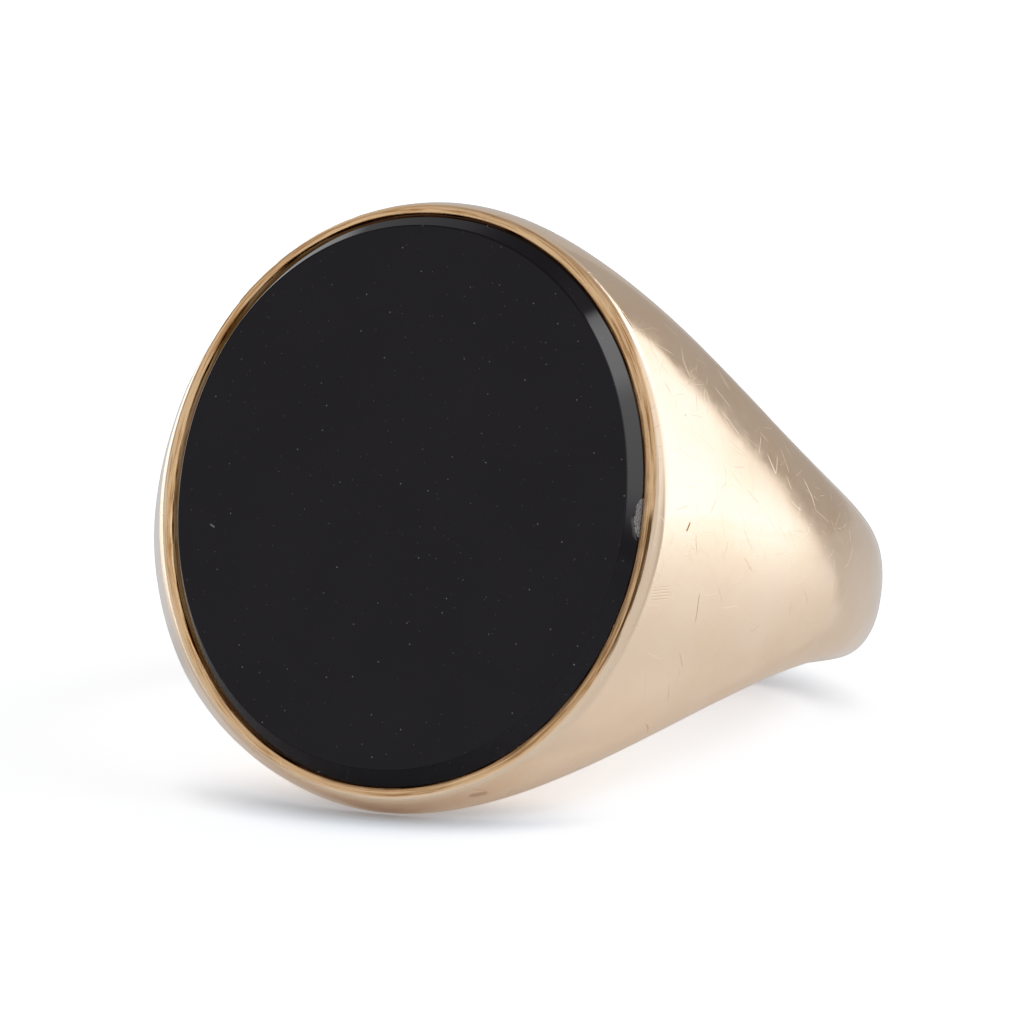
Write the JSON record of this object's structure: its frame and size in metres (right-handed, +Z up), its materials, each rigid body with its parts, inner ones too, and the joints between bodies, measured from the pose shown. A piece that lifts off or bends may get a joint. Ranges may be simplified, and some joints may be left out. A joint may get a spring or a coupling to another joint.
{
  "type": "signet ring",
  "caption": "Gold signet ring with tapering shoulders and an oval bevelled black onyx tablet held in a rub-over rim.",
  "frame": {"origin": "middle of the finger bore, on its axis", "axes": "+Z up as the ring lies on its side; the stone faces -Y and tips back towards +Z; +X runs across the face; the finger axis leans back from +Z towards +Y by the ring's rest tilt"},
  "size_m": [0.0204, 0.0222, 0.0162],
  "materials": {
    "gold": "polished nine carat rose-yellow gold with wear scratches",
    "onyx": "polished black onyx",
    "cement": "dark setting cement"
  },
  "bodies": {
    "root": {"ring_body": "gold", "back_hoop": "gold", "bezel_rim": "gold", "seat_bearer": "gold", "cement_bed": "cement", "onyx_tablet": "onyx"}
  },
  "joints": []
}
